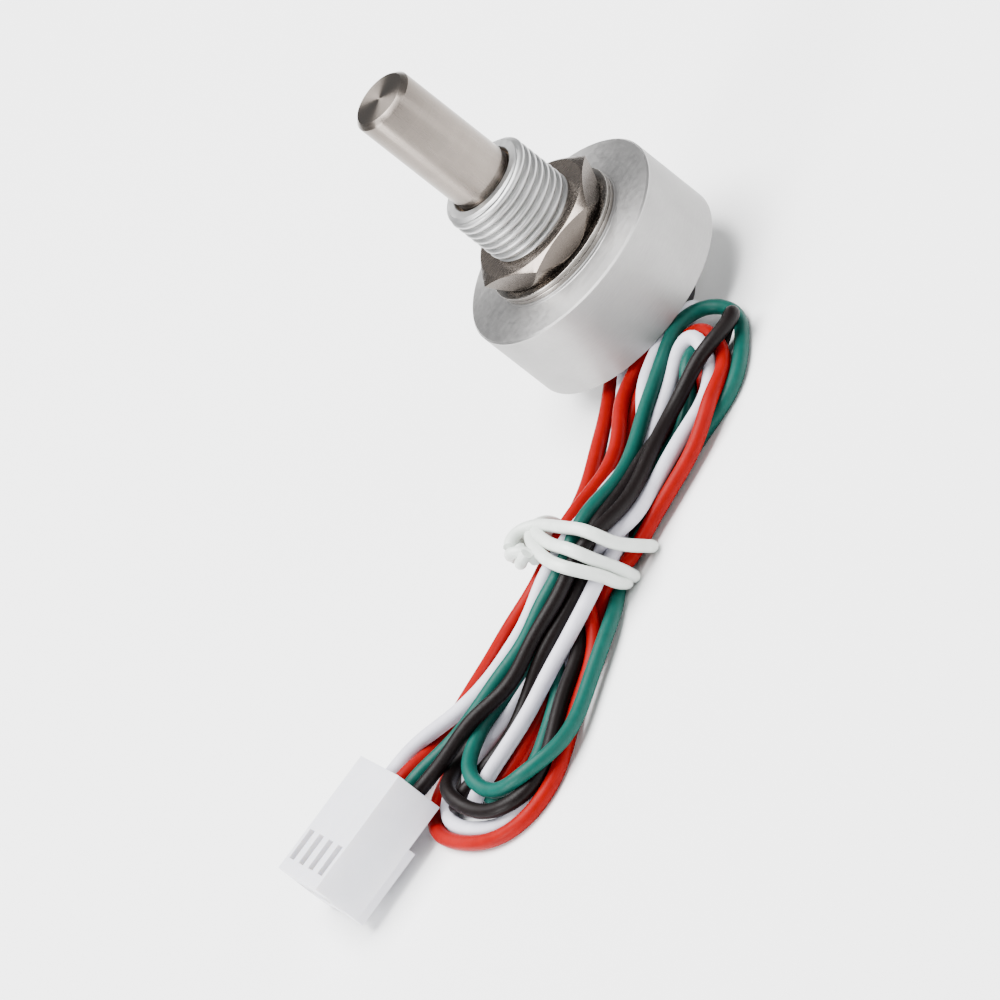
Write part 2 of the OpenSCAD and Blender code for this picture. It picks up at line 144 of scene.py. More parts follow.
# The hank's waist: its centre, its run angle, and each pass's place in it at the tie's left and right
# ends, as (across, height)
HANK_CENTRE = np.array([-21.2, -22.7, 0])
HANK_ANGLE = math.radians(20)
WAIST_HALF = 2.6
WAIST_SLOTS = {
    "red": [((2.9, 4), (3.2, 4.2)), ((-2.1, 2.9), (-2.1, 2.9)), ((1.4, 4), (1.4, 4)),
            ((-3.2, 2), (-4.2, 1.9)), ((0.9, 5.3), (1.2, 5.3))],
    "white": [((2.1, 2.9), (2.1, 2.9)), ((-1.4, 4), (-4.5, 3.1)), ((-0.7, 2.9), (-0.7, 2.9)),
              ((-4.1, 2.9), (-2.8, 3)), ((-0.5, 5.3), (-0.2, 4.2))],
    "green": [((3.5, 2.9), (3.5, 2.9)), ((0.2, 4.1), (-1.6, 4)), ((0.7, 2.9), (0.7, 2.9)),
              ((-4.2, 1.8), (-2.7, 1.9)), ((-1.9, 5.3), (-2.5, 5.2))],
    "black": [((2.8, 1.9), (2.8, 1.9)), ((-1.4, 1.9), (-1.4, 1.9)), ((0, 1.9), (0, 1.9)),
              ((-3.8, 4), (-2.4, 3.7)), ((-3.1, 5), (-3.9, 4.4))],
}
# The loops between the passes, in order: left, right, left, right
LOOPS = {
    "red": [
        [(-29.5, -23, 3), (-34, -22.8, 1.6), (-39, -23, 0.9), (-43.5, -23.8, 0.75), (-46.8, -25.2, 0.7),
         (-47.9, -28.2, 0.7), (-46.9, -31.4, 0.7), (-45.8, -34.8, 0.7), (-43.6, -38.1, 0.7),
         (-40.3, -39.2, 0.7), (-37.1, -37.6, 0.7), (-34.6, -36, 0.7), (-31.3, -33, 0.7),
         (-27.4, -29.2, 0.9)],
        [(-11, -21.6, 1.2), (-6, -19, 0.8), (-2.2, -16.4, 0.75), (-0.9, -13.6, 0.8), (-2.2, -11.4, 1),
         (-5.5, -11, 1.2), (-9.5, -13, 1.6), (-13.5, -16.5, 2.2)],
        [(-30, -27, 1), (-36, -27.6, 0.7), (-40.5, -27.8, 0.7), (-42.6, -29.4, 0.7), (-42.2, -31.4, 0.7),
         (-40, -31.5, 0.7), (-35.5, -30.3, 0.75), (-31, -28.9, 0.9), (-27, -27.9, 1.2)],
        [(-14.4, -24.3, 2.2), (-10.8, -23.9, 1.9), (-7, -23, 1.7), (-3.6, -22, 1.5), (-1.1, -19.5, 1.4),
         (0.5, -17, 1.4), (0.9, -15.3, 1.4), (0.6, -12.6, 1.4), (-1, -9.9, 1.9), (-3.2, -8.3, 2.6),
         (-6.4, -10, 3), (-10.2, -13.7, 3.6), (-13.9, -17.4, 4.2)],
    ],
    "white": [
        [(-29.5, -24, 2.4), (-34, -24, 1.2), (-39.5, -23.9, 1), (-43.2, -24.1, 1.2), (-44.9, -25.4, 1.3),
         (-45.6, -27.6, 1.3), (-46.1, -30.4, 1.3), (-44.5, -35.1, 1.4), (-42, -37.8, 1.3),
         (-38.7, -37.6, 1.2), (-36.9, -36, 0.9), (-34.3, -34.5, 0.7), (-31, -31.4, 0.7),
         (-27.8, -28.4, 0.9)],
        [(-14.3, -24.1, 3.2), (-10.6, -22.9, 2.8), (-6.9, -21.4, 2.3), (-3.6, -19.9, 2), (-1.7, -18.2, 1.9),
         (-0.6, -16.4, 1.8), (-0.1, -14.4, 1.8), (-1, -12.8, 1.9), (-3, -13.2, 2), (-6, -15.3, 2.1),
         (-9.5, -18, 2.3), (-13, -20.6, 2.6)],
        [(-30, -26.8, 1.6), (-36, -27.4, 0.8), (-40.6, -27.6, 0.8), (-43.4, -29, 0.8), (-43, -30.8, 0.8),
         (-39.5, -31.1, 1.2), (-35.5, -30.2, 1.5), (-30.5, -28.7, 2)],
        [(-14.5, -20.3, 1.4), (-11, -17.3, 0.9), (-7, -13.2, 0.7), (-3.5, -9.7, 0.7), (-1, -7.6, 0.8),
         (1.2, -6.1, 1.1), (2.8, -6.2, 1.6), (3, -7.7, 2.2), (1.5, -8.8, 2.5), (-1.4, -9.4, 2.6),
         (-5.2, -11.7, 2.6), (-9.6, -15.6, 2.7), (-14, -19.6, 3.2)],
    ],
    "green": [
        [(-29.5, -25.6, 1.4), (-34, -26.2, 0.8), (-38.5, -26.8, 0.75), (-41.8, -28.8, 0.8),
         (-42.8, -32, 0.8), (-41.4, -34.6, 0.8), (-38.4, -34.8, 0.8), (-34, -31.5, 0.75), (-29, -28.9, 0.9)],
        [(-12.5, -20.9, 2), (-9.1, -19.2, 1.6), (-2.8, -15.9, 1.2), (-0.2, -15, 1.1), (1.6, -13.2, 1),
         (0.6, -10.9, 0.8), (-3.6, -10.8, 0.75), (-8.6, -13.6, 0.75), (-13.6, -17.6, 1.3)],
        [(-32.2, -26.5, 2.8), (-35.5, -26.7, 2.8), (-38.8, -27.3, 2.8), (-41.4, -29.5, 3),
         (-42.1, -33, 3), (-41.2, -36.6, 2.9), (-38.7, -38, 2.6), (-35.7, -38, 2.4), (-32.1, -36.1, 2.2),
         (-27.2, -32.1, 1.9)],
        [(-14.8, -23.2, 1.2), (-11, -22.6, 0.8), (-7.5, -21.9, 0.7), (-4.4, -21.6, 0.7),
         (-1.7, -21.3, 0.7), (0.4, -19.8, 0.7), (1.8, -17.5, 0.8), (2.4, -15.8, 1), (3.6, -13.8, 1.2),
         (4.3, -11.8, 2), (3.3, -9.9, 2.8), (1.3, -10, 2.9), (-2.3, -11.9, 3), (-6.5, -14.9, 3.4),
         (-10.3, -18, 4), (-14, -21, 4.6)],
    ],
    "black": [
        [(-29, -24.8, 3), (-34, -25.2, 2.2), (-38.5, -25.3, 2), (-42.1, -26.5, 2.6), (-43.9, -28.9, 2.9),
         (-44.5, -31.9, 3), (-43.6, -35.3, 2.8), (-41.6, -37.4, 2.4), (-38.7, -37.6, 1.6),
         (-35, -35.6, 0.8), (-31, -32.4, 0.75), (-27.5, -29, 0.9)],
        [(-12.5, -21, 1), (-7.5, -17.5, 0.8), (-3.2, -14, 0.75), (-1.4, -11, 0.7), (-2.8, -9, 0.7),
         (-6, -9.2, 0.7), (-10, -11.4, 0.8), (-13.8, -15.2, 1.4)],
        [(-30, -25.4, 1.4), (-36, -25, 0.8), (-41, -25.4, 0.8), (-44.2, -26.8, 0.8), (-45.3, -28.9, 0.8),
         (-44.8, -30.5, 1), (-43, -30.7, 1.5), (-40.4, -30.3, 1.8), (-35.5, -29.1, 2.4),
         (-30.5, -28, 3.2)],
        [(-15, -23.2, 3.3), (-10.5, -19.8, 2.1), (-5.5, -16.6, 1), (-0.5, -14.9, 0.9), (2.8, -14.9, 1.1),
         (4.8, -15.5, 2.1), (4.3, -16.6, 3.1), (1.8, -16.9, 3.2), (-2.9, -17.4, 3.2), (-6.6, -19, 3.6),
         (-10.5, -20.9, 4), (-14, -23.8, 4.4)],
    ],
}
COLOURS = list(LEAD_ROUTES)


def in_hank(along, across, height):
    """A point of the hank's own frame, in the row frame."""
    run = np.array([math.cos(HANK_ANGLE), math.sin(HANK_ANGLE), 0])
    side = np.array([-math.sin(HANK_ANGLE), math.cos(HANK_ANGLE), 0])
    return HANK_CENTRE + along * run + across * side + np.array([0, 0, height])


def control_points(colour):
    """All the points that one lead follows, from the outlet to its terminal."""
    points = [np.array(p) for p in LEAD_ROUTES[colour][:-1]]
    for i, (left, right) in enumerate(WAIST_SLOTS[colour]):
        ends = [in_hank(-WAIST_HALF, *left), in_hank(WAIST_HALF, *right)]
        points += ends if i % 2 else ends[::-1]
        if i < len(LOOPS[colour]):
            points += [np.array(p) for p in LOOPS[colour][i]]
    return np.array(points + [np.array(p) for p in TAIL_ROUTES[colour][1:]], float)


def smooth_line(points, step):
    """Even steps along a centripetal Catmull-Rom curve through the points."""
    ends = np.vstack([2 * points[0] - points[1], points, 2 * points[-1] - points[-2]])
    line = []
    for a, b, c, d in zip(ends, ends[1:], ends[2:], ends[3:]):
        t1 = np.linalg.norm(b - a) ** 0.5
        t2 = t1 + np.linalg.norm(c - b) ** 0.5
        t3 = t2 + np.linalg.norm(d - c) ** 0.5
        for t in np.linspace(t1, t2, 12, endpoint=False):
            ab = a + (b - a) * t / t1
            bc = b + (c - b) * (t - t1) / (t2 - t1)
            cd = c + (d - c) * (t - t2) / (t3 - t2)
            abc = ab + (bc - ab) * t / t2
            bcd = bc + (cd - bc) * (t - t1) / (t3 - t1)
            line.append(abc + (bcd - abc) * (t - t1) / (t2 - t1))
    line = np.array(line + [points[-1]])
    walked = np.concatenate([[0], np.cumsum(np.linalg.norm(np.diff(line, axis=0), axis=1))])
    count = int(round(walked[-1] / step)) + 1
    marks = np.linspace(0, walked[-1], count)
    return np.stack([np.interp(marks, walked, line[:, k]) for k in range(3)], axis=1)


# ---------------------------------------------------------------- how the leads lie on each other
STEP = 0.8
OUTLET_DIRECTION = np.array([math.cos(math.radians(219)), math.sin(math.radians(219))])
OUTLET_REACH = 3.6
CONNECTOR_CORNER = np.array([-58, -28.8, 2.3])
CONNECTOR_SIZE = np.array([12.2, 10.16, 4.85])
CONNECTOR_TURN = (Matrix.Rotation(math.radians(5), 3, "Z") @ Matrix.Rotation(math.radians(1.5), 3, "Y")
                  @ Matrix.Rotation(math.radians(-6.5), 3, "X"))
# Length of each lead's ends that stays where it is, and the box round the waist where the tie holds
OUTLET_HELD = 5
CONNECTOR_HELD = 4.6
TIED_ALONG = WAIST_HALF + 0.4
TIED_ACROSS = 5
# How strongly the leads are held to their routes, in the tie and outside it
HOLD_TIED = 0.12
HOLD_FREE = 0.035
# How far they sink in a round, how stiff they are, how soon their lengths follow their new lines, and
# what share of an overlap each one gives way
SINK = 0.015
STIFFNESS = 0.3
LENGTH_EASE = 0.03
PUSH = 0.45


def near_pairs(points, reach, lead_of, index_of):
    """Pairs of points closer than reach that aren't neighbours on one lead."""
    found = []
    for start in range(0, len(points), 256):
        block = points[start:start + 256]
        gap = np.linalg.norm(block[:, None] - points[None], axis=2)
        a, b = np.nonzero(gap < reach)
        a = a + start
        keep = (a < b) & ((lead_of[a] != lead_of[b]) | (np.abs(index_of[a] - index_of[b]) > 4))
        found.append(np.stack([a[keep], b[keep]], axis=1))
    return np.concatenate(found)


def keep_clear(points, fixed):
    """Points kept on the floor, below the body, outside the outlet and below the connector."""
    r = LEAD_D / 2
    free = ~fixed
    points[free, 2] = np.maximum(points[free, 2], r)
    radius = np.hypot(points[:, 0], points[:, 1])
    under = free & (radius < BODY_R + r)
    points[under, 2] = np.minimum(points[under, 2], Z_BACK - r - 0.02)
    inside = free & (radius < OUTLET_R + r) & (points[:, :2] @ OUTLET_DIRECTION < OUTLET_REACH)
    points[inside, :2] *= ((OUTLET_R + r) / radius[inside])[:, None]
    turn = np.array(CONNECTOR_TURN)
    local = (points - CONNECTOR_CORNER) @ turn
    low = np.all((local > -r) & (local < CONNECTOR_SIZE + r), axis=1) & free
    below = low & (local[:, 2] < CONNECTOR_SIZE[2] / 2)
    points[below, 2] -= local[below, 2] + r
    points[free, 2] = np.maximum(points[free, 2], r)


def settle(lines, rounds):
    """The leads' lines, sunk on to the floor and each other, with the tie holding them."""
    points = np.concatenate(lines)
    lead_of = np.concatenate([np.full(len(line), i) for i, line in enumerate(lines)])
    index_of = np.concatenate([np.arange(len(line)) for line in lines])
    last = np.concatenate([np.full(len(line), len(line) - 1) for line in lines])
    run = np.array([math.cos(HANK_ANGLE), math.sin(HANK_ANGLE)])
    along = (points[:, :2] - HANK_CENTRE[:2]) @ run
    across = (points[:, :2] - HANK_CENTRE[:2]) @ np.array([-run[1], run[0]])
    tied = (np.abs(along) < TIED_ALONG) & (np.abs(across) < TIED_ACROSS)
    fixed = (index_of * STEP < OUTLET_HELD) | ((last - index_of) * STEP < CONNECTOR_HELD)
    pull = np.where(tied, HOLD_TIED, HOLD_FREE)[:, None] * np.array([1, 1, 0.5])
    start = points.copy()
    joined = np.nonzero(lead_of[1:] == lead_of[:-1])[0]
    rest = np.linalg.norm(points[joined + 1] - points[joined], axis=1)
    inner = joined[1:][np.diff(joined) == 1]
    for n in range(rounds):
        closing = n > rounds * 0.8
        if n % 8 == 0:
            pairs = near_pairs(points, LEAD_D + 0.5, lead_of, index_of)
        if not closing:
            points[~tied, 2] -= SINK
            points += (start - points) * pull
        for _ in range(2 if closing else 6):
            bend = np.zeros_like(points)
            bend[inner] = (points[inner - 1] + points[inner + 1]) / 2 - points[inner]
            points[inner] -= STIFFNESS * ((bend[inner - 1] + bend[inner + 1]) / 2 - bend[inner])
        points[inner] += 0.01 * bend[inner]
        if not closing:
            rest += (np.linalg.norm(points[joined + 1] - points[joined], axis=1) - rest) * LENGTH_EASE
        for parity in (0, 1) * 2:
            use = (joined % 2) == parity
            a, b = joined[use], joined[use] + 1
            way = points[b] - points[a]
            size = np.linalg.norm(way, axis=1, keepdims=True)
            shift = way * (1 - rest[use][:, None] / size) * 0.5
            points[a] += shift
            points[b] -= shift
        for _ in range(2):
            a, b = pairs.T
            way = points[b] - points[a]
            size = np.maximum(np.linalg.norm(way, axis=1, keepdims=True), 1e-6)
            short = np.maximum(LEAD_D - size, 0)
            push = way / size * short * PUSH
            np.add.at(points, a, -push)
            np.add.at(points, b, push)
            points[fixed] = start[fixed]
            keep_clear(points, fixed)
    cuts = np.cumsum([len(line) for line in lines])[:-1]
    return np.split(points, cuts)


lead_lines = [smooth_line(control_points(c), STEP) for c in COLOURS]
lead_lines = settle(lead_lines, 360)


def tube_along(name, line, diameter, resolution=3):
    """A round cord's mesh on the stator, swept along a line given in mm."""
    curve = bpy.data.curves.new(name, "CURVE")
    curve.dimensions = "3D"
    curve.bevel_depth = diameter / 2 * MM
    curve.bevel_resolution = resolution
    curve.resolution_u = 3
    curve.use_fill_caps = True
    spline = curve.splines.new("NURBS")
    spline.points.add(len(line) - 1)
    for point, place in zip(spline.points, line):
        point.co = (*(float(v) * MM for v in place), 1)
    spline.order_u = 4
    spline.use_endpoint_u = True
    swept = bpy.data.objects.new(name + "_line", curve)
    bpy.context.collection.objects.link(swept)
    bpy.context.view_layer.update()
    mesh = bpy.data.meshes.new_from_object(swept.evaluated_get(bpy.context.evaluated_depsgraph_get()))
    bpy.data.objects.remove(swept)
    mesh.shade_smooth()
    obj = bpy.data.objects.new(name, mesh)
    bpy.context.collection.objects.link(obj)
    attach(obj, "stator")
    return obj


leads = {}
for colour, line in zip(COLOURS, lead_lines):
    obj = tube_along(f"wire_{colour}", line[::2], LEAD_D, resolution=4)
    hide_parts(f"lead_{colour}", f"tail_{colour}", "lead_hank")
    leads[colour] = obj

# ---------------------------------------------------------------- twist tie
# Three wraps round the waist from front to back, and the ends twisted together behind it
TIE_ROUTE = [
    (-24.7, -20.3, 6.9), (-24.1, -19, 7), (-23.4, -18.3, 6.6), (-22.9, -18.1, 5), (-22.7, -18.3, 2.6),
    (-22.6, -19.2, 0.9), (-21.6, -22.9, 0.6), (-21, -26.6, 0.7), (-21.2, -28.2, 1.9), (-21.7, -28.4, 3.9),
    (-22.5, -27.4, 5.7), (-23.1, -25.6, 6.7), (-23, -22, 6.9), (-22.3, -19.3, 6.8), (-21.7, -18.2, 5.9),
    (-21.4, -17.8, 3.7), (-21.3, -18.4, 1.4), (-20.8, -21, 0.6), (-19.8, -25, 0.6), (-19.7, -27.7, 1.2),
    (-20.1, -28.4, 3.1), (-20.8, -27.9, 5.2), (-21.4, -26.3, 6.5), (-21.9, -23.3, 6.9), (-21.9, -20.5, 6.9),
    (-21.1, -18.3, 6.3), (-20.2, -17.3, 4.5), (-19.8, -17.3, 2.2), (-19.1, -19, 0.7), (-17.7, -22.7, 0.6),
    (-16.9, -26, 0.8), (-17.5, -27.5, 2.2), (-18.4, -28, 4.2), (-19.2, -27, 6), (-19.9, -24.6, 6.9),
    (-20.6, -21.8, 6.95), (-21.3, -19.9, 7.05), (-22.3, -18.7, 7.3), (-23.4, -18.6, 7.7), (-24.3, -19.5, 7.7),
]
TWIST_LINE = [(-24.3, -20, 7.3), (-24.5, -21.2, 7.5), (-24.3, -22.3, 7.4), (-23.8, -23.3, 7.5)]
TWIST_R = 0.52
WAIST_REACH = 9


def twisted_end(centre_line, phase, turns):
    """One of two strands wound round a short line."""
    line = smooth_line(np.array(centre_line, float), 0.35)
    wound = []
    for i, place in enumerate(line):
        share = i / (len(line) - 1)
        way = line[min(i + 1, len(line) - 1)] - line[max(i - 1, 0)]
        way = way / np.linalg.norm(way)
        side = np.cross(way, [0, 0, 1])
        side = side / np.linalg.norm(side)
        lift = np.cross(side, way)
        angle = phase + turns * 2 * math.pi * share
        wound.append(place + TWIST_R * (math.cos(angle) * side + math.sin(angle) * lift))
    return np.array(wound)


def wrap_over(line, strands):
    """The tie's line, eased out until it lies on the strands instead of in them."""
    gap = (LEAD_D + TIE_D) / 2
    for _ in range(40):
        way = line[:, None] - strands[None]
        size = np.linalg.norm(way, axis=2)
        short = np.maximum(gap - size, 0) / np.maximum(size, 1e-6)
        push = (way * short[:, :, None]).sum(axis=1)
        line = line + 0.4 * push / np.maximum((short > 0).sum(axis=1), 1)[:, None]
        bend = (line[:-2] + line[2:]) / 2 - line[1:-1]
        line[2:-2] -= 0.25 * ((bend[:-2] + bend[2:]) / 2 - bend[1:-1])
        line[:, 2] = np.maximum(line[:, 2], TIE_D / 2)
    return line


around_waist = np.concatenate(lead_lines)
around_waist = around_waist[np.linalg.norm(around_waist[:, :2] - HANK_CENTRE[:2], axis=1) < WAIST_REACH]
tie_line = wrap_over(smooth_line(np.array(TIE_ROUTE, float), 0.6), around_waist)
tie = tube_along("tie_wraps", tie_line, TIE_D)
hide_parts("twist_tie")
tie_ends = [tube_along(f"tie_end_{i}", twisted_end(TWIST_LINE, i * math.pi, 0.75), TIE_D - 0.1)
            for i in (0, 1)]


# ---------------------------------------------------------------- mesh helpers
def add_mesh(name, vertices, faces, body, smooth_angle):
    """A clean mesh from vertices in mm, on its body."""
    mesh = bpy.data.meshes.new(name)
    mesh.from_pydata([tuple(float(c) * MM for c in v) for v in vertices], [], faces)
    bm = bmesh.new()
    bm.from_mesh(mesh)
    bmesh.ops.remove_doubles(bm, verts=bm.verts, dist=1e-7)
    bmesh.ops.recalc_face_normals(bm, faces=bm.faces)
    bm.to_mesh(mesh)
    bm.free()
    obj = bpy.data.objects.new(name, mesh)
    bpy.context.collection.objects.link(obj)
    smooth_by_angle(obj, smooth_angle)
    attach(obj, body)
    return obj


def smooth_by_angle(obj, angle):
    """Smooth shading, with edges sharper than the angle kept crisp."""
    obj.data.shade_smooth()
    bm = bmesh.new()
    bm.from_mesh(obj.data)
    for edge in bm.edges:
        edge.smooth = len(edge.link_faces) == 2 and edge.calc_face_angle() < math.radians(angle)
    bm.to_mesh(obj.data)
    bm.free()


def lathe(profile, segments=160):
    """Vertices and faces of a closed profile of (radius, height) turned about the shaft's axis."""
    vertices = []
    for r, z in profile:
        for k in range(segments):
            a = 2 * math.pi * k / segments
            vertices.append((r * math.cos(a), r * math.sin(a), z))
    faces = []
    count = len(profile)
    for i in range(count):
        j = (i + 1) % count
        for k in range(segments):
            n = (k + 1) % segments
            faces.append((i * segments + k, i * segments + n, j * segments + n, j * segments + k))
    return vertices, faces


def arc(centre_r, centre_z, radius, start, end, steps=5):
    """Points of a small rounding in a lathe's profile, between two angles in degrees."""
    return [(centre_r + radius * math.cos(math.radians(a)), centre_z + radius * math.sin(math.radians(a)))
            for a in np.linspace(start, end, steps)]


def bevelled_copy(name, node, width, angle=30):
    """The stator node's own CAD shape with its sharp edges broken."""
    obj = bpy.data.objects.new(name, nodes[node].data.copy())
    obj.data.materials.clear()
    bpy.context.collection.objects.link(obj)
    bm = bmesh.new()
    bm.from_mesh(obj.data)
    bmesh.ops.remove_doubles(bm, verts=bm.verts, dist=2e-6)
    bmesh.ops.dissolve_limit(bm, angle_limit=math.radians(1.5), verts=bm.verts, edges=bm.edges)
    bm.to_mesh(obj.data)
    bm.free()
    bevel = obj.modifiers.new("edges", "BEVEL")
    bevel.width = width * MM
    bevel.segments = 3
    bevel.limit_method = "ANGLE"
    bevel.angle_limit = math.radians(angle)
    bevel.use_clamp_overlap = True
    bevel.harden_normals = True
    bpy.context.view_layer.update()
    shaped = bpy.data.meshes.new_from_object(obj.evaluated_get(bpy.context.evaluated_depsgraph_get()))
    obj.modifiers.clear()
    obj.data = shaped
    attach(obj, "stator")
    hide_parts(node)
    return obj


# ---------------------------------------------------------------- housing: turned body and bushing
def turned_body():
    """The body with its cavity, its seat for the cover and the raised boss round the bushing."""
    rim = 0.16
    z_cover = Z_BACK + COVER_T
    z_cavity = Z_FACE - 1.2
    neck_r = 4.4
    profile = [(CAVITY_R, z_cover), (BODY_R - 0.4, z_cover), (BODY_R - 0.4, Z_BACK)]
    profile += arc(BODY_R - 0.15, Z_BACK + 0.15, 0.15, -90, 0, 4)
    profile += [(BODY_R, Z_FACE - rim), (BODY_R - rim, Z_FACE)]
    profile += [(BOSS_R + 0.08, Z_FACE), (BOSS_R, Z_FACE + 0.06), (BOSS_R, Z_BOSS - 0.05),
                (BOSS_R - 0.05, Z_BOSS), (neck_r, Z_BOSS), (neck_r, z_cavity), (CAVITY_R, z_cavity)]
    vertices, faces = lathe(profile, 192)
    return add_mesh("turned_body", vertices, faces, "stator", 25)


def bushing_thread():
    """Helical thread, cut off cleanly at the boss and at the chamfer on top."""
    segments = 96
    root = THREAD_R - THREAD_DEPTH
    profile = [(k / 10, root + THREAD_DEPTH * math.sin(math.pi * k / 10) ** 0.7) for k in range(10)]
    low, high = Z_BOSS - 0.1, Z_THREAD_TOP
    first = low - THREAD_PITCH
    rings = int(math.ceil((high + THREAD_PITCH - first) / THREAD_PITCH)) * segments
    width = len(profile)
    vertices = []
    for i in range(rings + 1):
        a = 2 * math.pi * i / segments
        for dz, r in profile:
            z = first + THREAD_PITCH * (i / segments + dz)
            top_r = THREAD_R - max(0, z - (high - THREAD_CHAMFER_H)) * THREAD_CHAMFER_SLOPE
            r = min(r, top_r) if z < high else THREAD_END_R
            z = min(max(z, low), high)
            vertices.append((r * math.cos(a), r * math.sin(a), z))
    faces = []
    for i in range(rings):
        for k in range(width - 1):
            faces.append((i * width + k, (i + 1) * width + k, (i + 1) * width + k + 1, i * width + k + 1))
        if i + segments < rings:
            above = (i + segments) * width
            last = width - 1
            faces.append((i * width + last, (i + 1) * width + last, above + width, above))
    return add_mesh("bushing_thread", vertices, faces, "stator", 60)


def bushing_mouth():
    """Inside of the bushing and its rim, down to the sleeve bearing."""
    rim_r = THREAD_END_R + 0.004
    wall_r = rim_r - 0.25
    z_step = Z_SLEEVE_TOP + 0.02
    profile = [(rim_r, Z_THREAD_TOP - 0.02), (rim_r - 0.03, Z_THREAD_TOP), (MOUTH_R + 0.08, Z_THREAD_TOP),
               (MOUTH_R, Z_THREAD_TOP - 0.08), (MOUTH_R, z_step), (BUSHING_BORE_R, z_step),
               (BUSHING_BORE_R, Z_BOSS), (wall_r, Z_BOSS), (wall_r, Z_THREAD_TOP - 0.1)]
    vertices, faces = lathe(profile, 128)
    return add_mesh("bushing_mouth", vertices, faces, "stator", 28)


body = turned_body()
thread = bushing_thread()
mouth = bushing_mouth()
for piece in (body, thread, mouth):
    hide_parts("housing")


# ---------------------------------------------------------------- shaft
def turned_shaft():
    """The shaft with its magnet pocket, ring grooves, relief groove and turned end face."""
    chamfer = 0.45
    low = shaft_low[2]
    journal_r = SHAFT_R - 0.02
    groove_r = SHAFT_R - 0.32
    groove_l = 0.34
    pocket_r = 2.0
    profile = [(pocket_r, low), (SHAFT_R - 0.2, low), (journal_r, low + 0.15)]
    for z in (box_mm("lower_retaining_ring")[0][2], box_mm("upper_retaining_ring")[0][2]):
        profile += [(journal_r, z - 0.01), (groove_r, z - 0.01), (groove_r, z + groove_l),
                    (journal_r, z + groove_l)]
    profile += [(journal_r, Z_THREAD_TOP - 0.03), (RELIEF_R, Z_THREAD_TOP), (RELIEF_R, Z_JOURNAL_TOP),
                (journal_r, Z_JOURNAL_TOP + 0.01), (SHAFT_R, Z_JOURNAL_TOP + 0.04)]
    profile += [(SHAFT_R, Z_TIP - chamfer - 0.02), (journal_r, Z_TIP - chamfer + 0.02),
                (SHAFT_R - chamfer + 0.03, Z_TIP - 0.03), (SHAFT_R - chamfer - 0.01, Z_TIP)]
    ring = 2.6
    while ring > 0.35:
        profile += [(ring, Z_TIP - 0.004), (ring - 0.1, Z_TIP - 0.016), (ring - 0.2, Z_TIP - 0.004)]
        ring -= 0.28
    profile += [(0.2, Z_TIP - 0.01), (0.06, Z_TIP - 0.05), (0.0005, Z_TIP - 0.06)]
    profile += [(0.0005, low + 2), (pocket_r, low + 2)]
    vertices, faces = lathe(profile, 128)
    return add_mesh("turned_shaft", vertices, faces, "rotor", 30)


shaft = turned_shaft()
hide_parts("shaft")

# ---------------------------------------------------------------- pieces kept in the CAD's own shape
nut = bevelled_copy("hex_nut", "mounting_nut", 0.07, angle=20)
flat = bevelled_copy("flat_washer_piece", "flat_washer", 0.1)
lock = bevelled_copy("lock_washer_piece", "lock_washer", 0.1)
connector = bevelled_copy("connector_piece", "connector_housing", 0.28)
outlet = bevelled_copy("outlet_piece", "lead_outlet", 0.3)
cover = bevelled_copy("cover_piece", "back_cover", 0.06)


# ---------------------------------------------------------------- materials
class Nodes:
    """Short way to build a material's node tree."""

    def __init__(self, name):
        self.material = bpy.data.materials.new(name)
        self.material.use_nodes = True
        self.tree = self.material.node_tree
        self.shader = self.tree.nodes["Principled BSDF"]

    def add(self, kind, inputs=(), **settings):
        node = self.tree.nodes.new(kind)
        for key, value in settings.items():
            setattr(node, key, value)
        for key, value in dict(inputs).items():
            self.feed(node.inputs[key], value)
        return node

    def feed(self, socket, value):
        if isinstance(value, bpy.types.NodeSocket):
            self.tree.links.new(value, socket)
        else:
            socket.default_value = value

    def set(self, **values):
        names = {"color": "Base Color", "metallic": "Metallic", "roughness": "Roughness", "normal": "Normal",
                 "sub": "Subsurface Weight", "sub_radius": "Subsurface Radius",
                 "sub_scale": "Subsurface Scale", "specular": "Specular IOR Level",
                 "anisotropic": "Anisotropic", "turn": "Anisotropic Rotation", "tangent": "Tangent"}
        for key, value in values.items():
            self.feed(self.shader.inputs[names[key]], value)

    def place(self, scale=(1, 1, 1)):
        """Coordinates in mm that stay with the piece."""
        here = self.add("ShaderNodeTexCoord").outputs["Object"]
        factor = tuple(1000 * s for s in scale)
        return self.add("ShaderNodeMapping", {"Vector": here, "Scale": factor}).outputs["Vector"]

    def noise(self, vector, scale, detail=3, rough=0.55):
        found = self.add("ShaderNodeTexNoise", {"Vector": vector, "Scale": scale, "Detail": detail,
                                                "Roughness": rough})
        return found.outputs["Fac"]

    def span(self, value, low, high, start=0.3, end=0.7):
        found = self.add("ShaderNodeMapRange", {"Value": value, "From Min": start, "From Max": end,
                                                "To Min": low, "To Max": high})
        return found.outputs["Result"]

    def blend(self, factor, a, b):
        mix = self.add("ShaderNodeMix", data_type="RGBA")
        self.feed(mix.inputs[0], factor)
        self.feed(mix.inputs[6], (*a, 1) if isinstance(a, tuple) else a)
        self.feed(mix.inputs[7], (*b, 1) if isinstance(b, tuple) else b)
        return mix.outputs[2]

    def bump(self, height, distance, strength=1.0, under=None):
        node = self.add("ShaderNodeBump", {"Height": height, "Distance": distance * MM, "Strength": strength})
        if under is not None:
            self.feed(node.inputs["Normal"], under)
        return node.outputs["Normal"]


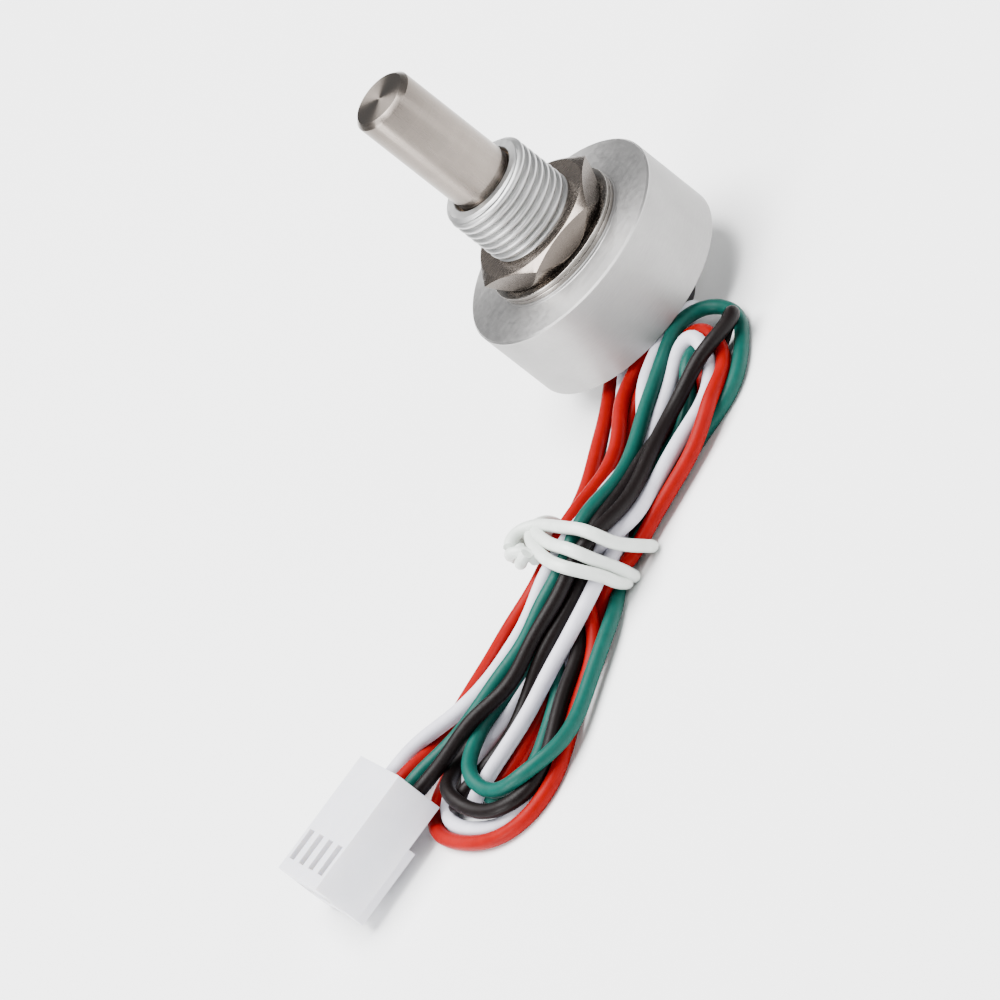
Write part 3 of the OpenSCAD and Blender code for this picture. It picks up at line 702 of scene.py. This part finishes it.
def turned_metal(name, colour, dark, roughness, streak=(0.3, 0.3, 6), top=None, sheen=0.0):
    """Metal turned on a lathe: fine rings about the axis, cloudy tone and faint scratches.

    Above the height top the metal is smoother.
    """
    grain = 0.0025
    n = Nodes(name)
    here = n.place()
    split = n.add("ShaderNodeSeparateXYZ", {"Vector": here})
    sides = (split.outputs["X"], split.outputs["Y"])
    squares = [n.add("ShaderNodeMath", {0: v, 1: v}, operation="MULTIPLY").outputs[0] for v in sides]
    total = n.add("ShaderNodeMath", {0: squares[0], 1: squares[1]}, operation="ADD").outputs[0]
    radius = n.add("ShaderNodeMath", {0: total, 1: 0.5}, operation="POWER").outputs[0]
    turned = n.add("ShaderNodeCombineXYZ", {"X": radius, "Y": 0.0, "Z": split.outputs[2]}).outputs[0]
    rings_fac = n.noise(turned, 9.0, 4, 0.7)
    cloud = n.noise(here, 0.35, 4)
    fine = n.noise(n.place(streak), 5, 3, 0.6)
    tone = n.blend(n.span(cloud, 0, 1), colour, dark)
    tone = n.blend(n.span(rings_fac, 0, 0.35, 0.35, 0.75), tone, tuple(c * 0.72 for c in dark))
    low, high = roughness * 0.85, roughness * 1.15
    if top is not None:
        low = n.span(split.outputs[2], roughness * 0.85, roughness * 0.65, top - 0.3, top - 0.2)
        high = n.span(split.outputs[2], roughness * 1.15, roughness * 0.8, top - 0.3, top - 0.2)
    around = n.add("ShaderNodeTangent", direction_type="RADIAL", axis="Z").outputs[0]
    n.set(color=tone, metallic=1.0, roughness=n.span(fine, low, high), anisotropic=sheen, turn=0.25,
          tangent=around, normal=n.bump(rings_fac, grain, 0.8, n.bump(fine, grain * 0.6, 0.5)))
    return n.material


def plated_metal(name, colour, dark, roughness, sides=1.0):
    """Pressed or milled metal with fine mottling and small scratches; its upright faces get painted shade,
    darkened towards black to the share sides of their tone.
    """
    n = Nodes(name)
    here = n.place()
    cloud = n.noise(here, 0.8, 3, 0.5)
    fine = n.noise(here, 5, 3, 0.6)
    scratch = n.noise(n.place((1, 3, 1)), 2, 3, 0.6)
    tone = n.blend(n.span(cloud, 0, 1), colour, dark)
    # Painted shade: faces that point sideways are made darker than faces that point up.
    if sides < 1:
        facing = n.add("ShaderNodeTexCoord").outputs["Normal"]
        upward = n.add("ShaderNodeSeparateXYZ", {"Vector": facing}).outputs["Z"]
        tone = n.blend(n.span(upward, 0, 1, 0.1, 0.3), n.blend(1 - sides, tone, (0, 0, 0)), tone)
    n.set(color=tone, metallic=1.0, roughness=n.span(scratch, roughness * 0.85, roughness * 1.15),
          normal=n.bump(fine, 0.0012, 0.5))
    return n.material


def lead_plastic(name, colour, dark, roughness=0.42, specular=0.25):
    """Soft PVC insulation: slight waves, specks and a smeared gloss."""
    n = Nodes(name)
    here = n.place()
    wave = n.noise(here, 0.9, 3)
    speck = n.noise(here, 7, 3, 0.6)
    tone = n.blend(n.span(wave, 0, 1), colour, dark)
    n.set(color=tone, roughness=n.span(speck, roughness * 0.8, roughness * 1.35), specular=specular,
          normal=n.bump(wave, 0.05, 0.4, n.bump(speck, 0.005, 0.4)))
    return n.material


def moulded_plastic(name, colour, dark, roughness, sub=0.0):
    """Moulded plastic or board: a slightly cloudy tone and a fine, dull skin."""
    n = Nodes(name)
    here = n.place()
    cloud = n.noise(here, 0.5, 3)
    fine = n.noise(here, 9, 3, 0.6)
    tone = n.blend(n.span(cloud, 0, 1), colour, dark)
    n.set(color=tone, roughness=n.span(fine, roughness * 0.85, roughness * 1.2), sub=sub, sub_scale=0.0012,
          sub_radius=(1.0, 0.85, 0.65), normal=n.bump(fine, 0.01, 0.5, n.bump(cloud, 0.05, 0.4)))
    return n.material


def paint(obj, material):
    """Gives a piece its one material."""
    obj.data.materials.clear()
    obj.data.materials.append(material)


anodised = turned_metal("anodised", (0.46, 0.452, 0.445), (0.42, 0.412, 0.405), 0.6, top=Z_FACE, sheen=0.6)
threaded = turned_metal("threaded", (0.55, 0.55, 0.545), (0.46, 0.46, 0.455), 0.45)
ground_steel = turned_metal("ground_steel", (0.26, 0.225, 0.197), (0.22, 0.192, 0.168), 0.3,
                            streak=(3, 3, 0.12), sheen=0.85)
cover_metal = turned_metal("cover_metal", (0.70, 0.70, 0.69), (0.58, 0.58, 0.57), 0.36)
# The nut's flats get painted shade, at half the tone of its top face.
nickel_painted_shade = plated_metal("nickel_painted_shade", (0.22, 0.187, 0.162), (0.195, 0.165, 0.143), 0.27, sides=0.5)
washer_metal = turned_metal("washer_metal", (0.36, 0.335, 0.31), (0.32, 0.30, 0.275), 0.25)
screw_metal = plated_metal("screw_metal", (0.40, 0.40, 0.41), (0.28, 0.28, 0.29), 0.32)
bright_steel = turned_metal("bright_steel", (0.80, 0.80, 0.80), (0.68, 0.68, 0.68), 0.16)
# Painted shade: the sleeve's bronze is made far darker than bronze, standing in for the shade deep in the
# bushing's bore.
bronze_painted_shade = turned_metal("bronze_painted_shade", (0.16, 0.12, 0.085), (0.11, 0.08, 0.055), 0.5)
brass = plated_metal("brass", (0.65, 0.50, 0.22), (0.52, 0.38, 0.16), 0.3)
copper = plated_metal("copper", (0.80, 0.46, 0.26), (0.62, 0.36, 0.20), 0.3)
solder = plated_metal("solder", (0.72, 0.72, 0.73), (0.58, 0.58, 0.60), 0.22)
tin = plated_metal("tin", (0.74, 0.72, 0.66), (0.60, 0.57, 0.50), 0.3)
pvc = {
    "red": lead_plastic("pvc_red", (0.24, 0.0, 0.0), (0.20, 0.0, 0.0), specular=0.08),
    "white": lead_plastic("pvc_white", (0.62, 0.61, 0.68), (0.54, 0.53, 0.60)),
    "green": lead_plastic("pvc_green", (0.0, 0.062, 0.048), (0.0, 0.052, 0.040), specular=0.15),
    "black": lead_plastic("pvc_black", (0.004, 0.002, 0.002), (0.003, 0.0015, 0.0015), specular=0.12),
}
tie_plastic = lead_plastic("tie_plastic", (0.70, 0.74, 0.70), (0.62, 0.66, 0.62), 0.34, 0.5)
nylon = moulded_plastic("nylon", (0.74, 0.74, 0.79), (0.70, 0.70, 0.75), 0.36, sub=0.3)
rubber = moulded_plastic("rubber", (0.025, 0.025, 0.027), (0.015, 0.015, 0.016), 0.55)
board_green = moulded_plastic("board_green", (0.02, 0.16, 0.06), (0.012, 0.11, 0.04), 0.3)
chip_black = moulded_plastic("chip_black", (0.02, 0.02, 0.02), (0.03, 0.03, 0.03), 0.5)
ceramic = moulded_plastic("ceramic", (0.50, 0.38, 0.24), (0.42, 0.31, 0.19), 0.4)
natural = moulded_plastic("natural", (0.75, 0.70, 0.58), (0.68, 0.62, 0.50), 0.45)

paint(body, anodised)
for piece in (thread, mouth):
    paint(piece, threaded)
paint(shaft, ground_steel)
paint(nut, nickel_painted_shade)
for piece in (flat, lock):
    paint(piece, washer_metal)
for colour in COLOURS:
    paint(leads[colour], pvc[colour])
for piece in (tie, *tie_ends):
    paint(piece, tie_plastic)
paint(connector, nylon)
paint(outlet, rubber)
paint(cover, cover_metal)
NODE_MATERIALS = {
    "cover_screws": screw_metal, "board_spacer": natural, "circuit_board": board_green,
    "sensor_chip": chip_black, "board_capacitors": ceramic, "board_resistors": chip_black,
    "lead_conductors": copper, "solder_joints": solder, "sleeve_bearing": bronze_painted_shade,
    "bearing_outer_race": bright_steel, "bearing_inner_race": bright_steel,
    "bearing_upper_shield": washer_metal, "bearing_lower_shield": washer_metal,
    "bearing_balls": bright_steel, "bearing_cage": brass, "sensor_magnet": solder,
    "upper_retaining_ring": screw_metal, "lower_retaining_ring": screw_metal,
}
for colour in COLOURS:
    NODE_MATERIALS[f"terminal_{colour}"] = tin
for node, material in NODE_MATERIALS.items():
    paint(nodes[node], material)


# ---------------------------------------------------------------- floor and light, in m
LIGHT_AIM = Vector((-0.02, -0.01, 0.01))


def make_floor():
    """A plain pale floor, far larger than the part."""
    reach = 3.0
    mesh = bpy.data.meshes.new("floor")
    mesh.from_pydata([(-reach, -reach, 0), (reach, -reach, 0), (reach, reach, 0), (-reach, reach, 0)], [],
                     [(0, 1, 2, 3)])
    floor = bpy.data.objects.new("floor", mesh)
    bpy.context.collection.objects.link(floor)
    n = Nodes("floor")
    n.set(color=(0.92, 0.92, 0.92, 1), roughness=0.9, specular=0.1)
    paint(floor, n.material)


def make_light(name, place, size, power):
    """A soft rectangular light aimed at the encoder."""
    data = bpy.data.lights.new(name, "AREA")
    data.shape = "RECTANGLE"
    data.size, data.size_y = size
    data.energy = power
    light = bpy.data.objects.new(name, data)
    light.location = place
    light.rotation_euler = (LIGHT_AIM - Vector(place)).to_track_quat("-Z", "Y").to_euler()
    bpy.context.collection.objects.link(light)


def make_world(colour, strength):
    """Even light from all round."""
    world = bpy.data.worlds.new("studio")
    world.use_nodes = True
    background = world.node_tree.nodes["Background"]
    background.inputs["Color"].default_value = (*colour, 1)
    background.inputs["Strength"].default_value = strength
    bpy.context.scene.world = world


make_floor()
make_world((0.95, 0.97, 1.0), 0.3)
make_light("top", (-0.05, 0.1, 0.75), (0.7, 0.7), 30)
make_light("side", (-0.75, -0.25, 0.3), (0.35, 0.4), 9)
make_light("front", (0.6, -0.6, 0.4), (0.4, 0.3), 3)
